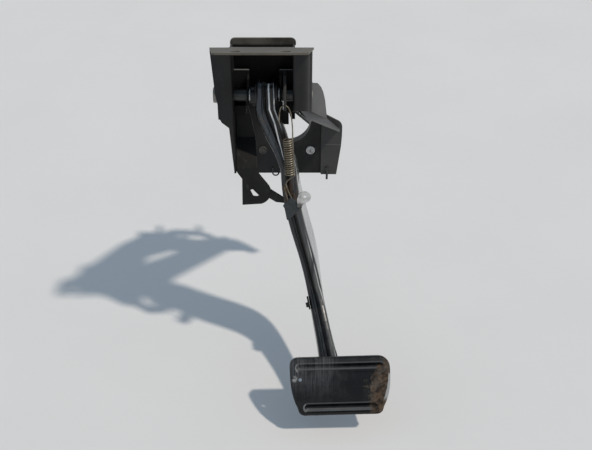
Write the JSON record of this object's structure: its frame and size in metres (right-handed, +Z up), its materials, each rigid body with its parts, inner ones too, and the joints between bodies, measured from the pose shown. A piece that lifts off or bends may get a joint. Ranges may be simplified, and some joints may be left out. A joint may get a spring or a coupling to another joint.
{
  "type": "hanging brake pedal",
  "caption": "Hanging brake pedal: a pressed channel arm and wide pad on a pivot tube, in a sheet steel support bracket with a return spring.",
  "frame": {"origin": "centre of the large opening in the firewall plate, on the face that meets the firewall", "axes": "+Y forward through the firewall, +Z up, +X to the right as the driver sees it"},
  "size_m": [0.2249, 0.3726, 0.4713],
  "materials": {
    "bracket_black": "matt black, dusty and lightly rusted",
    "top_dusty": "matt black under brown-grey dust",
    "zinc": "zinc plated, dulled",
    "bare_steel": "plain steel, tarnished",
    "bushing": "black nylon",
    "rubber": "black rubber",
    "spring": "golden brown rusted wire",
    "arm_black": "gloss black enamel, rubbed through in places",
    "blue_grey": "phosphated sheet, blue-grey"
  },
  "bodies": {
    "bracket": {"firewall_plate": "bracket_black", "firewall_studs": "zinc", "left_side_plate": "bracket_black", "right_side_plate": "bracket_black", "top_flange": "top_dusty", "rear_cross_plate": "bracket_black", "left_pivot_support": "bracket_black", "right_pivot_support": "bracket_black", "stop_bracket": "bracket_black", "stop_bumper": "rubber", "spring_hanger": "bracket_black", "wiring_hook": "bare_steel", "foot_pin": "bare_steel", "pivot_bolt": "zinc", "pivot_lock_washer": "zinc", "pivot_nut": "zinc", "left_spacer": "bare_steel", "right_spacer": "bare_steel", "pivot_sleeve": "bare_steel", "return_spring": "spring"},
    "pedal": {"pedal_arm": "arm_black", "pedal_hub": "arm_black", "left_bushing": "bushing", "right_bushing": "bushing", "pad_plate": "arm_black", "clip_bracket": "blue_grey", "stop_strap": "bracket_black", "switch_tab": "zinc", "arm_lug": "arm_black"}
  },
  "joints": [
    {"name": "pedal_pivot", "type": "hinge", "parent": "bracket", "child": "pedal", "pos_m": [-0.0243, -0.184, 0.13], "axis": [1, 0, 0], "range_deg": [0, 20], "stiffness_Nm_per_rad": 8, "springref_deg": -20.05, "deforming": ["return_spring"]}
  ]
}
